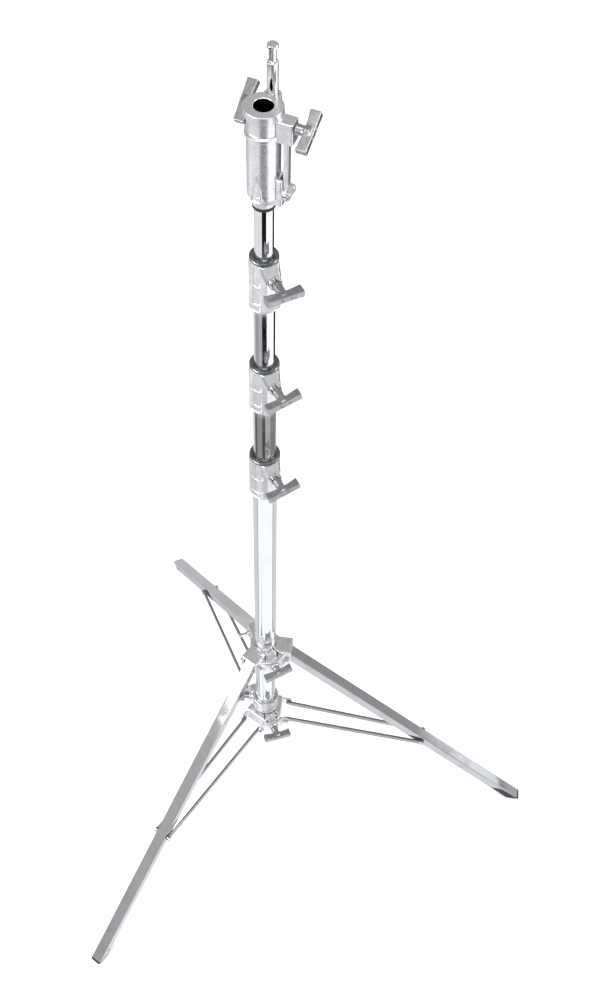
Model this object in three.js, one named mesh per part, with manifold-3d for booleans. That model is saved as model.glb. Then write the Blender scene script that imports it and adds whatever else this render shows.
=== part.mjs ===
// Steel combo lighting stand: three folding square-tube legs, three telescoping risers on
// lock collars, and a combo head with a junior socket and a 16 mm stud.
// Millimetres, +Z up. Everything is laid out around the column axis with the floor at z = 0,
// and at the end the whole stand is shifted so that its origin is its bounding box's
// bottom centre.
import * as THREE from "three";
import { mergeVertices } from "three/addons/utils/BufferGeometryUtils.js";
import Module from "manifold-3d";

const wasm = await Module();
wasm.setup();

// ---- Driving dimensions -------------------------------------------------------------

const GAP = 0.3; // clearance left between neighbouring pieces
const LONG = 400; // longer than any piece that a cutting tool passes through

const WALL = 1.5; // wall of every round tube
const TUBE_R = [22.5, 20, 17.5, 15]; // base tube, riser 1, riser 2, riser 3
const ROUND = 24; // sides of the round tubes and castings

// Legs: azimuth about the column, how far out the sole's middle stands, the height of the
// lower brace pivot, and how far the pivot bolt runs on past its head.
const LEGS = [
  { name: "a", azimuth: 210, footR: 614, braceZ: 288, pivotStub: 0 },
  { name: "b", azimuth: 330, footR: 614, braceZ: 288, pivotStub: 0 },
  { name: "c", azimuth: 90, footR: 634, braceZ: 293, pivotStub: 38 }, // the levelling leg
];
const PIVOT_R = 49; // leg pivot, out from the column axis
const PIVOT_Z = 565;
const LEG_W = 25; // square tube, across
const LEG_H = 22; // square tube, up
const LEG_ROOT = 8; // tube past its pivot
const LEG_WALL = 1.5;
const SOLE_T = 4; // rubber sole under the leg's level end
const FOOT_PLUG = 32; // rubber foot's plug inside the tube
const BRACE_AT = 452; // brace pin, along the leg from its pivot
const BRACE_R = 51; // lower brace pivot, out from the column axis
const BAR_H = 12;
const BAR_T = 5.3;
const BAR_Y_LOW = 20.3; // middle of a brace bar at the lower bracket, off the leg's plane
const BAR_Y_HIGH = 16; // and at the leg

// Upper hub
const HUB_Z = [546, 590];
const HUB_R = 33;
const ARM_W = 40;
const ARM_R = 58;
const ARM_TOP = 5.5; // plate over the leg's root
const ARM_SLOT_W = 26.4;
const ARM_SLOT_R = 35.1;

// Lower bracket and levelling carriage
const BRACKET_Z = [268, 308];
const BRACKET_R = 30;
const CARRIAGE_Z = [318, 356];
const CARRIAGE_R = 29.5;
const EAR_Y = [23.5, 27.5];
const EAR_END_R = 58;
const EAR_WALL_R = 36; // flat wall that carries a pair of ears
const EAR_H = 24;
const WEB_R = [46, 52]; // curved web that takes a clamp screw, off the column

// T-handles: the direction they point, their height and the tilt of the wing
const HUB_HANDLE = { azimuth: 272, z: 567, tilt: 8, face: WEB_R[1], wing: 68 };
const BRACKET_HANDLE = { azimuth: 269, z: 287, tilt: -11, face: WEB_R[1], wing: 75 };
const CARRIAGE_HANDLE = { azimuth: 150, z: 340, tilt: 80, face: 38, wing: 58 };
const SCREW_R = 5;
const BOSS_R = 11;
const WING_LENGTH = 62;
const WING_DEPTH = 17;
const WING_WAIST = 12;
const WING_T = 12;

// Lock collars: ring top of the lowest one, spacing up the column, and proportions
const COLLAR_TOP = 1256;
const COLLAR_PITCH = 241;
const COLLAR_H = 106;
const COLLAR_R = [28.5, 26, 24];
const COLLAR_RING_H = 5;
const COLLAR_AZIMUTH = 275;
const COLLAR_TILT = [10, 10, -2];
const KNOB_DROP = 28; // clamp screw below the ring's top
const TUBE_DROP = 39; // end of the outer tube below the ring's top
const COLLAR_BOSS = 9.5; // how far the flat boss stands proud of the collar's side
const COLLAR_BOSS_W = 28;
const NUT_R = 11;
const NUT_H = 8;

// Nested tubes: the lowest points, and how far each riser can still be lowered
const BASE_BOTTOM = 255;
const RISER_BOTTOM = [407, 561, 715];
const GUIDE_PLUG = 12;
const GUIDE_FLANGE = 5;

// Combo head
const HEAD_AZIMUTH = -45; // the socket's clamp lug
const HEAD_TOP = 2012;
const HEAD_BOTTOM = 1842;
const FLANGE_R = 28.5;
const FLANGE_H = 11;
const BARREL_R = 24.5;
const SOCKET_R = 14.3; // junior socket, 28.6 mm bore
const RISER_SEAT = 1885; // top of riser 3 inside the head
const STUD_Y = 31;
const STUD_R = 8; // 16 mm stud
const STUD_NECK_R = 5.5;
const STUD_TOP = HEAD_TOP + 76;
const STUD_BOTTOM = HEAD_TOP - 62;
const STUD_BOSS_R = 13;
const STUD_BOSS_Z = [1958, HEAD_TOP - 3];
const STUD_TRAVEL = 60;
const SOCKET_HANDLE = { z: 1988, tilt: 26, face: 47, wing: 66 };
const STUD_HANDLE = { z: 1984, tilt: 34, face: 15, wing: 38.5 };
const LUG_W = 22;
const LUG_Z = [1964, 2000];
const ARM_PIVOT = { x: 38, z: 1872 }; // clamp arm's pin
const ARM_X = [31.5, 40];
const ARM_THICK = 12;
const CLAMP_WINDOW = [1966, 1994]; // window through the socket wall for the arm's shoe

// ---- Materials ----------------------------------------------------------------------

const finish = (color, roughness, metalness) =>
  new THREE.MeshStandardMaterial({ color, roughness, metalness });
const chrome = finish(0xe4e6e8, 0.08, 1);
const casting = finish(0xc9cacc, 0.42, 1);
const satin = finish(0xa9abae, 0.35, 1);
const zinc = finish(0xb9bbbd, 0.3, 1);
const rubber = finish(0x18181a, 0.8, 0);
const nylon = finish(0x26272a, 0.55, 0);

// ---- Solids -------------------------------------------------------------------------

const radians = THREE.MathUtils.degToRad;

// A closed geometry as a manifold-3d solid, with its faces turned outwards.
function toSolid(geometry) {
  const bare = new THREE.BufferGeometry();
  bare.setAttribute("position", geometry.getAttribute("position"));
  if (geometry.index) bare.setIndex(geometry.index);
  const merged = mergeVertices(bare, 1e-4);
  const place = merged.getAttribute("position");
  const corners = [];
  let volume = 0;
  const [a, b, c] = [0, 1, 2].map(() => new THREE.Vector3());
  for (let i = 0; i < merged.index.count; i += 3) {
    const face = [0, 1, 2].map((k) => merged.index.getX(i + k));
    if (new Set(face).size < 3) continue;
    [a, b, c].forEach((corner, k) => corner.fromBufferAttribute(place, face[k]));
    volume += a.dot(b.cross(c));
    corners.push(face);
  }
  const outward = volume < 0 ? corners.map((face) => face.reverse()) : corners;
  return new wasm.Manifold(
    new wasm.Mesh({
      numProp: 3,
      vertProperties: new Float32Array(place.array),
      triVerts: new Uint32Array(outward.flat()),
    }),
  );
}

function toGeometry(solid) {
  const mesh = solid.getMesh();
  const geometry = new THREE.BufferGeometry();
  const points = new Float32Array(mesh.numVert * 3);
  for (let i = 0; i < mesh.numVert; i++)
    for (let k = 0; k < 3; k++)
      points[3 * i + k] = mesh.vertProperties[mesh.numProp * i + k];
  geometry.setAttribute("position", new THREE.BufferAttribute(points, 3));
  geometry.setIndex(new THREE.BufferAttribute(mesh.triVerts, 1));
  geometry.computeVertexNormals();
  return geometry;
}

const join = (...shapes) =>
  toGeometry(shapes.map(toSolid).reduce((all, next) => all.add(next)));
const cut = (shape, ...tools) =>
  toGeometry(tools.map(toSolid).reduce((left, tool) => left.subtract(tool), toSolid(shape)));

// A solid turned about Z from [radius, z] pairs.
function turned(profile, sides = ROUND) {
  const points = profile.map(([r, z]) => new THREE.Vector2(r, z));
  return new THREE.LatheGeometry([...points, points[0]], sides).rotateX(Math.PI / 2);
}

const rod = (r, z0, z1, sides = ROUND) =>
  turned([[0, z0], [r, z0], [r, z1], [0, z1]], sides);

// A hole's tool: its flats, not its corners, stand at radius r.
const bore = (r, z0, z1, sides = ROUND) =>
  rod(r / Math.cos(Math.PI / sides), z0, z1, sides);

// Rods and bores along X and Y, between two stations.
const rodX = (r, x0, x1, sides = 16) => rod(r, x0, x1, sides).rotateY(Math.PI / 2);
const boreX = (r, x0, x1, sides = 16) => bore(r, x0, x1, sides).rotateY(Math.PI / 2);
const rodY = (r, y0, y1, sides = 12) => rod(r, y0, y1, sides).rotateX(-Math.PI / 2);
const boreY = (r, y0, y1, sides = 12) => bore(r, y0, y1, sides).rotateX(-Math.PI / 2);

function block([x0, x1], [y0, y1], [z0, z1]) {
  const box = new THREE.BoxGeometry(x1 - x0, y1 - y0, z1 - z0);
  return box.translate((x0 + x1) / 2, (y0 + y1) / 2, (z0 + z1) / 2);
}

// An outline drawn in the X-Z plane and given a width along Y.
function plate(outline, [y0, y1], curveSegments = 4) {
  const shape = outline instanceof THREE.Shape
    ? outline
    : new THREE.Shape(outline.map(([x, z]) => new THREE.Vector2(x, z)));
  const options = { depth: y1 - y0, bevelEnabled: false, curveSegments };
  return new THREE.ExtrudeGeometry(shape, options).rotateX(Math.PI / 2).translate(0, y1, 0);
}

const tube = (r, z0, z1) => cut(rod(r, z0, z1), bore(r - WALL, z0 - 1, z1 + 1));
const turnAbout = (shape, azimuth) => shape.clone().rotateZ(radians(azimuth));

// ---- Assembly helpers ---------------------------------------------------------------

const stand = new THREE.Group();

function piece(parent, name, shape, material) {
  const mesh = new THREE.Mesh(shape, material);
  mesh.name = name;
  parent.add(mesh);
  return mesh;
}

// A frame turned to an azimuth about the column, so that +X points away from it.
function facing(azimuth, parent = stand) {
  const group = new THREE.Group();
  group.rotation.z = radians(azimuth);
  parent.add(group);
  return group;
}

// ---- T-handles ----------------------------------------------------------------------

// A cast wing, waisted in the middle, seen from above with its length along Y.
function wingOutline() {
  const half = WING_LENGTH / 2;
  const deep = WING_DEPTH / 2;
  const waist = WING_WAIST / 2;
  const shape = new THREE.Shape();
  shape.moveTo(-waist, 0);
  shape.quadraticCurveTo(-waist, half * 0.55, -deep + 2, half);
  shape.lineTo(deep, half - 2);
  shape.quadraticCurveTo(waist, half * 0.45, waist + 1, 0);
  shape.quadraticCurveTo(waist, -half * 0.45, deep, 2 - half);
  shape.lineTo(-deep + 2, -half);
  shape.quadraticCurveTo(-waist, -half * 0.55, -waist, 0);
  return shape;
}

// Screw, shank and wing in one, along +X: the screw's tip, the start of the shank and the
// middle of the wing are stations on the screw's axis.
function tHandleShape(tip, shank, wing, tilt) {
  const options = { depth: WING_T, bevelEnabled: false, curveSegments: 4 };
  const bar = new THREE.ExtrudeGeometry(wingOutline(), options).translate(wing, 0, -WING_T / 2);
  return join(
    rodX(SCREW_R, tip, shank + 2, 12),
    turned([[0, shank], [8.5, shank], [7, wing - 4], [0, wing - 4]], 16).rotateY(Math.PI / 2),
    bar,
  ).rotateX(radians(tilt));
}

function addHandle(name, parent, z, tip, shank, wing, tilt) {
  piece(parent, name, tHandleShape(tip, shank, wing, tilt), satin).position.z = z;
}

// ---- Upper hub ----------------------------------------------------------------------

// A curved web off the column with a boss for the clamp screw, joined to the arms beside it.
function screwWeb([z0, z1], handle, reach) {
  const sector = cut(
    rod(WEB_R[1], z0, z1, 30),
    bore(WEB_R[0], z0 - 1, z1 + 1, 30),
    turnAbout(block([-LONG, 0], [-LONG, LONG], [z0 - 1, z1 + 1]), 270),
    turnAbout(block([-LONG, LONG], [0, LONG], [z0 - 1, z1 + 1]), 270 + reach),
    turnAbout(block([-LONG, LONG], [-LONG, 0], [z0 - 1, z1 + 1]), 270 - reach),
  );
  const boss = turnAbout(rodX(BOSS_R, WEB_R[0] - 2, WEB_R[1] + 3, 16), handle.azimuth);
  return join(sector, boss.translate(0, 0, handle.z));
}

function screwHole(handle, from, to) {
  return turnAbout(boreX(SCREW_R + GAP, from, to, 12), handle.azimuth).translate(0, 0, handle.z);
}

// Room in a web for the bolt heads that stand off both sides of a leg's arm or ears.
const headPockets = (y, r, z, azimuth) =>
  [[y, y + 14], [-y - 14, -y]].map(([y0, y1]) =>
    turnAbout(boreY(7.6, y0, y1, 12).translate(r, 0, z), azimuth),
  );

function addUpperHub() {
  const [z0, z1] = HUB_Z;
  const half = ARM_W / 2;
  let hub = join(rod(HUB_R, z0, z1), screwWeb([z0 + 2, z1 - 2], HUB_HANDLE, 36));
  for (const leg of LEGS) {
    const arm = plate(
      [[25, z0], [ARM_R - 6, z0], [ARM_R, z0 + 6], [ARM_R, z1], [25, z1]],
      [-half, half],
    );
    hub = join(hub, turnAbout(arm, leg.azimuth));
  }
  const tools = [bore(TUBE_R[0] + GAP, z0 - 1, z1 + 1)];
  for (const leg of LEGS) {
    const slot = block(
      [ARM_SLOT_R, ARM_R + 1],
      [-ARM_SLOT_W / 2, ARM_SLOT_W / 2],
      [z0 - 1, z1 - ARM_TOP],
    );
    const hole = boreY(4 + GAP, -half - 1, half + 1).translate(PIVOT_R, 0, PIVOT_Z);
    tools.push(turnAbout(slot, leg.azimuth), turnAbout(hole, leg.azimuth));
    tools.push(...headPockets(half, PIVOT_R, PIVOT_Z, leg.azimuth));
  }
  // Two slits free a tongue of the barrel wall, which the clamp screw presses on the column.
  for (const side of [-1, 1]) {
    const slit = block([TUBE_R[0] - 1, HUB_R + 2], [-1, 1], [z0 + 12, z1 + 1]);
    tools.push(turnAbout(slit, HUB_HANDLE.azimuth + side * 24));
  }
  tools.push(screwHole(HUB_HANDLE, HUB_R, LONG));
  piece(stand, "upper_hub", cut(hub, ...tools), casting);
  const tip = HUB_R + GAP;
  addHandle("hub_t_handle", facing(HUB_HANDLE.azimuth), HUB_HANDLE.z, tip,
    HUB_HANDLE.face + 4, HUB_HANDLE.wing, HUB_HANDLE.tilt);
}

// ---- Legs, feet and braces ----------------------------------------------------------

const rootHalf = ARM_W / 2;

// A bolt across the hub's arm: round head on one side, nut on the other. A stub, where there
// is one, runs on from the head and ends in a collar.
function legBolt(stub) {
  const y = rootHalf + GAP;
  const bolt = join(
    rodY(4, -y - 7, y + 1),
    rodY(6.5, y, y + 4, 16),
    rodY(7, -y - 5, -y, 6),
  );
  if (!stub) return bolt;
  return join(bolt, rodY(4, y, y + stub), rodY(5, y + stub - 6, y + stub, 16));
}

// Where a level plane this far above the floor cuts a line along the leg, z off its middle.
const levelCut = (slope, above, z) =>
  (PIVOT_Z - above + z * Math.cos(slope)) / Math.sin(slope);

// The leg's profile from a station on, cut level at a height above the floor.
const legProfile = (slope, start, above, half) => [
  [start, -half],
  [levelCut(slope, above, -half), -half],
  [levelCut(slope, above, half), half],
  [start, half],
];

function legTube(slope) {
  const [y, z] = [LEG_W / 2, LEG_H / 2];
  const outer = plate(legProfile(slope, -LEG_ROOT, SOLE_T + GAP, z), [-y, y]);
  const inner = plate(
    legProfile(slope, -LEG_ROOT - 1, -1, z - LEG_WALL),
    [LEG_WALL - y, y - LEG_WALL],
  );
  return cut(outer, inner, boreY(4 + GAP, -LEG_W, LEG_W));
}

// Rubber foot: a level sole under the tube's end and a plug inside the tube.
function foot(slope) {
  const [y, z] = [LEG_W / 2, LEG_H / 2];
  const inset = LEG_WALL + GAP;
  const sole = plate(
    [
      [levelCut(slope, SOLE_T, -z), -z],
      [levelCut(slope, 0, -z), -z],
      [levelCut(slope, 0, z), z],
      [levelCut(slope, SOLE_T, z), z],
    ],
    [-y, y],
  );
  const start = levelCut(slope, 0, -z) - FOOT_PLUG;
  const plug = plate(legProfile(slope, start, 1, z - inset), [inset - y, y - inset]);
  return join(sole, plug);
}

// A flat brace bar along +X from its lower pivot, closing in on the leg by the far end.
function braceBar(length, side) {
  const half = BAR_H / 2;
  const outline = new THREE.Shape();
  outline.absarc(0, 0, half, Math.PI / 2, (3 * Math.PI) / 2);
  outline.absarc(length, 0, half, -Math.PI / 2, Math.PI / 2);
  const bar = plate(outline, [-BAR_T / 2, BAR_T / 2]);
  const drilled = cut(
    bar,
    boreY(3.5 + GAP, -BAR_T, BAR_T, 10),
    boreY(3.5 + GAP, -BAR_T, BAR_T, 10).translate(length, 0, 0),
  );
  const lean = Math.atan2(BAR_Y_HIGH - BAR_Y_LOW, length);
  return drilled.rotateZ(side * lean).translate(0, side * BAR_Y_LOW, 0);
}

// A headed pin on one side of the leg, its inner end at y0 and its head from y1 outwards.
function headedPin(side, y0, y1, head) {
  const pin = join(rodY(3.5, y0, y1 + 1, 10), rodY(head, y1, y1 + 3, 12));
  return side > 0 ? pin : pin.rotateX(Math.PI);
}

function addLeg(leg) {
  const run = leg.footR - PIVOT_R;
  const slope = Math.atan2(PIVOT_Z, run);
  const frame = facing(leg.azimuth);

  const bolt = piece(frame, `leg_bolt_${leg.name}`, legBolt(leg.pivotStub), zinc);
  bolt.position.set(PIVOT_R, 0, PIVOT_Z);
  const tilted = new THREE.Group();
  tilted.position.set(PIVOT_R, 0, PIVOT_Z);
  tilted.rotation.y = slope;
  frame.add(tilted);
  piece(tilted, `leg_${leg.name}`, legTube(slope), chrome);
  piece(tilted, `foot_${leg.name}`, foot(slope), rubber);

  const pinX = PIVOT_R + BRACE_AT * Math.cos(slope);
  const pinZ = PIVOT_Z - BRACE_AT * Math.sin(slope);
  const length = Math.hypot(pinX - BRACE_R, pinZ - leg.braceZ);
  const brace = new THREE.Group();
  brace.position.set(BRACE_R, 0, leg.braceZ);
  brace.rotation.y = Math.atan2(leg.braceZ - pinZ, pinX - BRACE_R);
  frame.add(brace);
  for (const [side, word] of [[1, "left"], [-1, "right"]]) {
    const name = `${leg.name}_${word}`;
    const barOuter = BAR_Y_HIGH + BAR_T / 2;
    const rivet = headedPin(side, LEG_W / 2 + GAP, barOuter + GAP, 6);
    const bolt = headedPin(side, BAR_Y_LOW - BAR_T / 2 - 1, EAR_Y[1] + GAP, 6.5);
    piece(brace, `brace_${name}`, braceBar(length, side), chrome);
    piece(brace, `brace_rivet_${name}`, rivet, zinc).position.x = length;
    piece(frame, `brace_bolt_${name}`, bolt, zinc).position.set(BRACE_R, 0, leg.braceZ);
  }
}

// ---- Lower bracket and levelling carriage --------------------------------------------

// The flat wall and the two ears that hold one leg's brace bars; the ears' inner ends may
// reach higher than the pivot needs, up to the wall's top.
function earPair([wallZ0, wallZ1], braceZ, innerTop) {
  const [earZ0, earZ1] = [braceZ - EAR_H / 2, braceZ + EAR_H / 2];
  const width = EAR_Y[1];
  const wall = block([22, EAR_WALL_R], [-width, width], [wallZ0, wallZ1]);
  const ears = [-1, 1].map((side) => {
    const [y0, y1] = [side * EAR_Y[0], side * EAR_Y[1]].sort((p, q) => p - q);
    const outline = [
      [EAR_WALL_R - 5, earZ0],
      [EAR_END_R - 5, earZ0],
      [EAR_END_R, earZ0 + 5],
      [EAR_END_R, earZ1 - 5],
      [EAR_END_R - 5, earZ1],
      [EAR_WALL_R, innerTop],
      [EAR_WALL_R - 5, innerTop],
    ];
    return plate(outline, [y0, y1]);
  });
  const holes = boreY(3.5 + GAP, -LONG, LONG, 10).translate(BRACE_R, 0, braceZ);
  return cut(join(wall, ...ears), holes);
}

function addLowerBracket() {
  const [z0, z1] = BRACKET_Z;
  let bracket = join(rod(BRACKET_R, z0, z1), screwWeb([z0 + 3, z1 - 6], BRACKET_HANDLE, 28));
  for (const leg of LEGS.slice(0, 2)) {
    const ears = earPair(BRACKET_Z, leg.braceZ, leg.braceZ + EAR_H / 2);
    bracket = join(bracket, turnAbout(ears, leg.azimuth));
  }
  const tools = [
    bore(TUBE_R[0] + GAP, z0 - 1, z1 + 1),
    screwHole(BRACKET_HANDLE, BRACKET_R, LONG),
    ...LEGS.slice(0, 2).flatMap((leg) =>
      headPockets(EAR_Y[1], BRACE_R, leg.braceZ, leg.azimuth),
    ),
  ];
  for (const side of [-1, 1]) {
    const slit = block([TUBE_R[0] - 1, BRACKET_R + 8], [-1, 1], [z0 + 10, z1 + 1]);
    tools.push(turnAbout(slit, BRACKET_HANDLE.azimuth + side * 25));
  }
  piece(stand, "lower_bracket", cut(bracket, ...tools), casting);
  const tip = BRACKET_R + GAP;
  addHandle("bracket_t_handle", facing(BRACKET_HANDLE.azimuth), BRACKET_HANDLE.z, tip,
    BRACKET_HANDLE.face + 4, BRACKET_HANDLE.wing, BRACKET_HANDLE.tilt);
}

function addCarriage() {
  const [z0, z1] = CARRIAGE_Z;
  const { azimuth, z, face, wing, tilt } = CARRIAGE_HANDLE;
  const ears = earPair(CARRIAGE_Z, LEGS[2].braceZ, z1);
  const boss = turnAbout(rodX(BOSS_R, 20, face, 16), azimuth).translate(0, 0, z);
  const carriage = cut(
    join(rod(CARRIAGE_R, z0, z1), turnAbout(ears, LEGS[2].azimuth), boss),
    bore(TUBE_R[0] + GAP, z0 - 5, z1 + 5),
    screwHole(CARRIAGE_HANDLE, 10, LONG),
  );
  piece(stand, "leveling_carriage", carriage, casting);
  addHandle("leveling_t_handle", facing(azimuth), z, TUBE_R[0] + GAP, face + 1, wing, tilt);
}

// ---- Column: tubes, guides and lock collars ------------------------------------------

const ringTop = (i) => COLLAR_TOP + i * COLLAR_PITCH;

function addTubes() {
  piece(stand, "base_tube", tube(TUBE_R[0], BASE_BOTTOM, ringTop(0) - TUBE_DROP), chrome);
  const inside = TUBE_R[0] - WALL - GAP;
  const plug = turned([
    [6, BASE_BOTTOM - 4],
    [TUBE_R[0], BASE_BOTTOM - 4],
    [TUBE_R[0], BASE_BOTTOM - GAP],
    [inside, BASE_BOTTOM - GAP],
    [inside, BASE_BOTTOM + 10],
    [6, BASE_BOTTOM + 10],
  ], 16);
  piece(stand, "base_plug", plug, nylon);
  RISER_BOTTOM.forEach((bottom, i) => {
    const r = TUBE_R[i + 1];
    const top = i < 2 ? ringTop(i + 1) - TUBE_DROP : RISER_SEAT;
    piece(stand, `riser_${i + 1}`, tube(r, bottom, top), chrome);
    // A nylon plug in the riser's lower end, with a flange that runs in the tube outside it.
    const plugR = r - WALL - GAP;
    const flangeR = TUBE_R[i] - WALL - GAP;
    const guide = turned([
      [5, bottom - GUIDE_FLANGE],
      [flangeR, bottom - GUIDE_FLANGE],
      [flangeR, bottom - GAP],
      [plugR, bottom - GAP],
      [plugR, bottom + GUIDE_PLUG],
      [5, bottom + GUIDE_PLUG],
    ], 16);
    piece(stand, `riser_${i + 1}_guide`, guide, nylon);
  });
}

function castleNut(face) {
  const ring = cut(
    rodX(NUT_R, face, face + NUT_H, 18),
    boreX(SCREW_R + GAP, face - 1, face + NUT_H + 1, 12),
  );
  const notches = [0, 60, 120].map((turn) =>
    block([face + NUT_H - 3, face + NUT_H + 1], [-LONG, LONG], [-1.6, 1.6]).rotateX(radians(turn)),
  );
  return cut(ring, ...notches);
}

function addCollar(i, word) {
  const top = ringTop(i);
  const bottom = top - COLLAR_H;
  const body = top - COLLAR_RING_H - GAP;
  const r = COLLAR_R[i];
  const face = r + COLLAR_BOSS;
  const knob = top - KNOB_DROP;
  const half = COLLAR_BOSS_W / 2;
  const shell = turned([
    [0, bottom],
    [r - 2, bottom],
    [r, bottom + 4],
    [r, body - 30],
    [r - 2.5, body],
    [0, body],
  ]);
  const boss = plate(
    [[0, bottom + 6], [r, bottom + 6], [face, bottom + 30], [face, knob + 8],
      [r - 2, body], [0, body]],
    [-half, half],
  );
  const casing = cut(
    join(shell, boss),
    bore(TUBE_R[i] + GAP, bottom - 1, top - TUBE_DROP + GAP),
    bore(TUBE_R[i + 1] + GAP, bottom - 1, top),
    boreX(SCREW_R + GAP, 5, LONG, 12).translate(0, 0, knob),
  );
  const frame = facing(COLLAR_AZIMUTH);
  piece(frame, `${word}_collar`, casing, casting);
  piece(frame, `${word}_lock_nut`, castleNut(face + GAP), zinc).position.z = knob;
  const shank = face + NUT_H + 1;
  addHandle(`${word}_t_handle`, frame, knob, TUBE_R[i + 1] + GAP, shank, face + 33, COLLAR_TILT[i]);

  const ring = cut(
    turned([
      [0, top - COLLAR_RING_H],
      [r - 1, top - COLLAR_RING_H],
      [r - 1, top - 1.5],
      [r - 3, top],
      [0, top],
    ]),
    bore(TUBE_R[i + 1] + GAP, top - 20, top + 1),
  );
  piece(frame, `${word}_collar_ring`, ring, satin);
}

// ---- Combo head ----------------------------------------------------------------------

function headCasting() {
  const barrel = turned([
    [0, HEAD_BOTTOM],
    [18, HEAD_BOTTOM],
    [18.5, HEAD_BOTTOM + 8],
    [BARREL_R, HEAD_BOTTOM + 20],
    [BARREL_R, 1966],
    [27.2, 1968],
    [27.2, 1974],
    [24, 1977],
    [24, HEAD_TOP - FLANGE_H - 2],
    [FLANGE_R, HEAD_TOP - FLANGE_H],
    [FLANGE_R, HEAD_TOP],
    [0, HEAD_TOP],
  ]);
  const half = LUG_W / 2;
  const lug = block([15, SOCKET_HANDLE.face], [-half, half], LUG_Z);
  const ears = block(
    [15, ARM_PIVOT.x + 6],
    [-half, half],
    [HEAD_BOTTOM + 8, ARM_PIVOT.z + 26],
  );
  const studBoss = rod(STUD_BOSS_R, ...STUD_BOSS_Z, 20).translate(0, STUD_Y, 0);
  const screwBoss = rodX(BOSS_R, -STUD_HANDLE.face, 0, 16)
    .translate(0, STUD_Y, STUD_HANDLE.z);
  const armRoom = ARM_THICK / 2 + GAP;
  const stud = [0, STUD_Y];
  return cut(
    join(barrel, lug, ears, studBoss, screwBoss),
    bore(SOCKET_R, RISER_SEAT - 1, HEAD_TOP + 1),
    bore(TUBE_R[3] + GAP, HEAD_BOTTOM - 1, RISER_SEAT + GAP),
    // channel that the clamp arm stands in, and the window for its shoe
    block([ARM_X[0] - 5, ARM_PIVOT.x + 9], [-armRoom, armRoom], [HEAD_BOTTOM + 18, LUG_Z[0]]),
    block([ARM_X[0] - 5, ARM_X[1] + 1], [-armRoom, armRoom], [LUG_Z[0] - 1, LUG_Z[1] - 4]),
    block([5, ARM_X[0]], [-7, 7], CLAMP_WINDOW),
    boreX(SCREW_R + GAP, ARM_X[1] - 1, LONG, 12).translate(0, 0, SOCKET_HANDLE.z),
    boreY(3.5 + GAP, -LONG, LONG, 10).translate(ARM_PIVOT.x, 0, ARM_PIVOT.z),
    // room for the stud to slide down its boss and along the barrel
    bore(STUD_R + GAP, STUD_BOTTOM - STUD_TRAVEL - 2, HEAD_TOP + 1, 20).translate(...stud, 0),
    boreX(SCREW_R + GAP, -LONG, 0, 12).translate(0, STUD_Y, STUD_HANDLE.z),
  );
}

// The arm that the socket's clamp screw presses in: a bar on a pin with a shoe at the top.
function clampArm() {
  const half = ARM_THICK / 2;
  const top = LUG_Z[1] - 8;
  const bar = plate(
    [
      [ARM_X[0], ARM_PIVOT.z + 8],
      [ARM_X[0], ARM_PIVOT.z - 6],
      [ARM_PIVOT.x, ARM_PIVOT.z - 8],
      [ARM_PIVOT.x + 7, ARM_PIVOT.z],
      [ARM_X[1] - 1, ARM_PIVOT.z + 12],
      [ARM_X[1] - 1, top],
      [ARM_X[0], top],
    ],
    [-half, half],
  );
  const shoe = block([SOCKET_R + 3, ARM_X[0] + 1], [-6, 6], [CLAMP_WINDOW[0] + 3, top]);
  return cut(
    join(bar, shoe),
    boreY(3.5 + GAP, -LONG, LONG, 10).translate(ARM_PIVOT.x, 0, ARM_PIVOT.z),
  );
}

function stud() {
  return turned(
    [
      [0, STUD_BOTTOM],
      [STUD_R - 1, STUD_BOTTOM],
      [STUD_R, STUD_BOTTOM + 1],
      [STUD_R, STUD_TOP - 27],
      [STUD_NECK_R, STUD_TOP - 25],
      [STUD_NECK_R, STUD_TOP - 4],
      [STUD_R, STUD_TOP - 3],
      [STUD_R, STUD_TOP],
      [0, STUD_TOP],
    ],
    20,
  );
}

function addHead() {
  const head = facing(HEAD_AZIMUTH);
  piece(head, "head_casting", headCasting(), casting);
  const tail = cut(
    rod(17.5, HEAD_BOTTOM - 6, HEAD_BOTTOM - GAP),
    bore(TUBE_R[3] + GAP, HEAD_BOTTOM - 10, HEAD_BOTTOM),
  );
  piece(head, "head_tail_ring", tail, nylon);
  piece(head, "clamp_arm", clampArm(), casting);
  const y = LUG_W / 2 + GAP;
  const pin = join(rodY(3.5, -y - 1, y + 4, 10), rodY(6, -y - 3, -y, 12), rodY(6, y, y + 4, 6));
  piece(head, "clamp_arm_pin", pin, zinc).position.set(ARM_PIVOT.x, 0, ARM_PIVOT.z);
  piece(head, "stud", stud(), chrome).position.y = STUD_Y;

  const { z, face, wing, tilt } = SOCKET_HANDLE;
  addHandle("socket_t_handle", head, z, ARM_X[1] + GAP, face + 1, wing, tilt);
  const back = new THREE.Group(); // the stud's clamp screw points the other way
  back.position.y = STUD_Y;
  back.rotation.z = Math.PI;
  head.add(back);
  addHandle("stud_t_handle", back, STUD_HANDLE.z, STUD_R + GAP, STUD_HANDLE.face + 1,
    STUD_HANDLE.wing, -STUD_HANDLE.tilt);
}

// ---- The stand ------------------------------------------------------------------------

addUpperHub();
LEGS.forEach(addLeg);
addLowerBracket();
addCarriage();
addTubes();
["bottom", "middle", "top"].forEach((word, i) => addCollar(i, word));
addHead();

const lightingStand = new THREE.Group();
lightingStand.add(stand);
stand.updateMatrixWorld(true);
const bounds = new THREE.Box3().setFromObject(stand, true);
const middle = bounds.getCenter(new THREE.Vector3());
stand.position.set(-middle.x, -middle.y, -bounds.min.z);

export default lightingStand;
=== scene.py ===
"""Combo lighting stand: the visible pieces, their finishes, the studio and the camera.

Shapes are made in millimetres round the column's axis, with the floor at z = 0, as the CAD
model is laid out, and placed in metres. Castings are distance fields, so that their edges and
joins are rounded as a casting's are. Tubes, bolts, nuts and pins are turned or lofted.
"""
import functools
import math

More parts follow.
